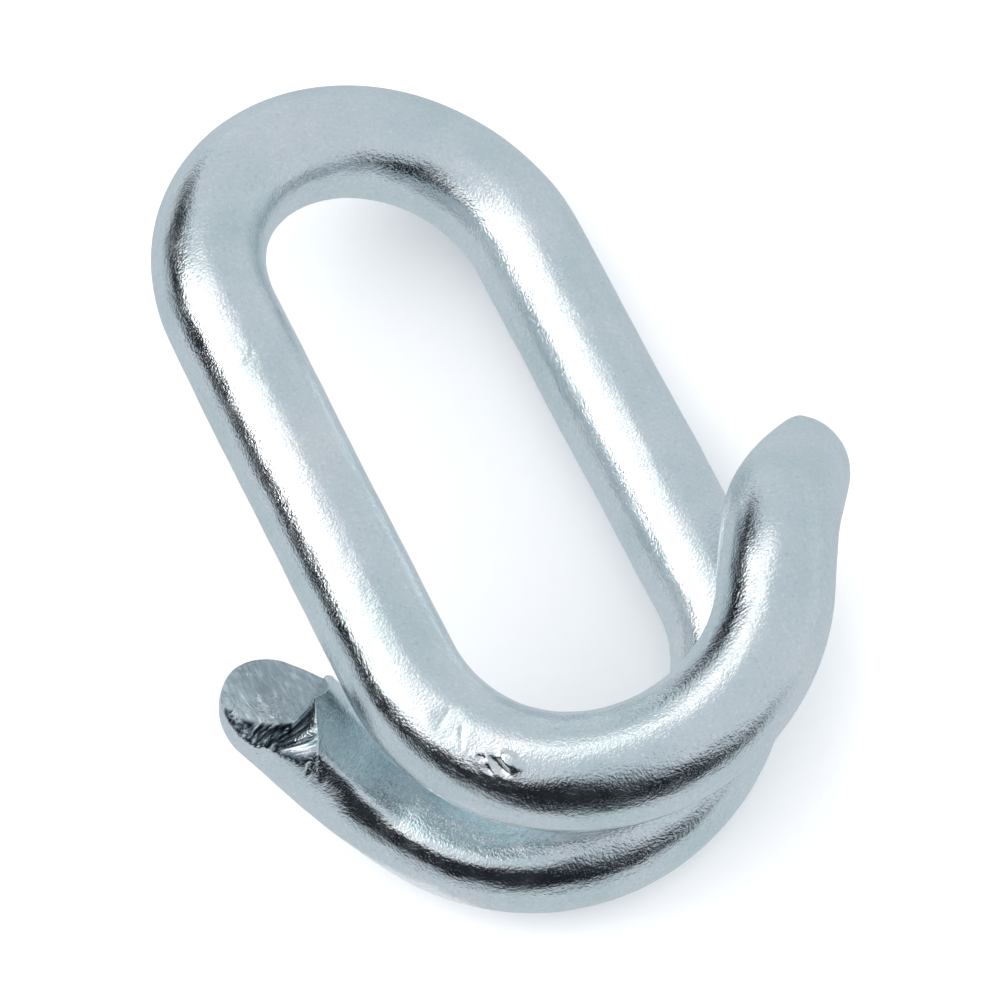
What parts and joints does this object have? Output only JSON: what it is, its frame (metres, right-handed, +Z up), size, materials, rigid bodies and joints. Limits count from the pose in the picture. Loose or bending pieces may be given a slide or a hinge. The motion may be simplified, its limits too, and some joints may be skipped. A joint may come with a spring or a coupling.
{
  "type": "safety chain hook",
  "caption": "Zinc-plated safety chain hook bent from one round bar: a closed eye, straight legs and lapped open hooks with sheared, dipped tips.",
  "frame": {"origin": "centre of the eye bend, where a chain link or shackle bow seats", "axes": "+Z up as the hook lies on one leg and its lower hook, +Y along the legs towards the eye, +X to the right"},
  "size_m": [0.0548, 0.0738, 0.022],
  "materials": {
    "zinc_plated_bar": "bright zinc plating over forged bar, mottled, with dark fines in the nicks"
  },
  "bodies": {
    "root": {"hook_bar": "zinc_plated_bar"}
  },
  "joints": []
}
